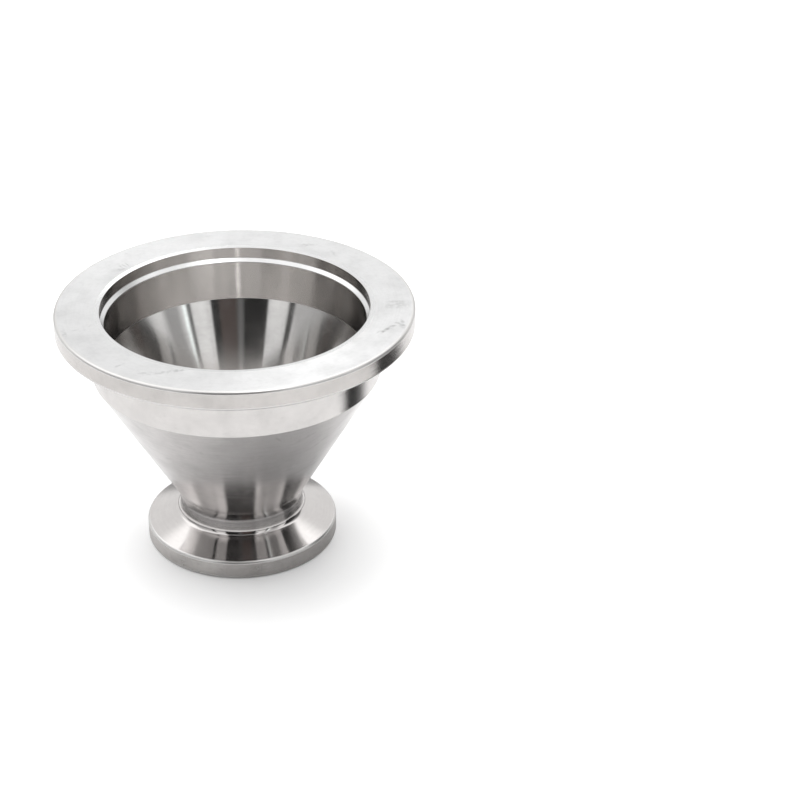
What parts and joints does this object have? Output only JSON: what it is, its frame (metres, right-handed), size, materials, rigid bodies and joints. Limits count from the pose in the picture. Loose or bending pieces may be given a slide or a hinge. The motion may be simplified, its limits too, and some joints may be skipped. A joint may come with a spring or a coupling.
{
  "type": "conical kf vacuum flange reducer",
  "caption": "Turned stainless conical reducer for vacuum lines: a wide clamp flange with a centring recess above, a small clamp flange below, and a cone open right through.",
  "frame": {"origin": "centre of the narrow sealing face, on the axis; the piece stands on that face", "axes": "+Z along the axis, from the narrow flange to the wide flange; the piece is turned, so X and Y are free"},
  "size_m": [0.055, 0.055, 0.04],
  "materials": {
    "turned_stainless": "turned stainless steel: satin sealing faces, fine turning lines on the walls, a brushed outer cone and a polished inner cone"
  },
  "bodies": {
    "root": {"adapter_body": "turned_stainless"}
  },
  "joints": []
}
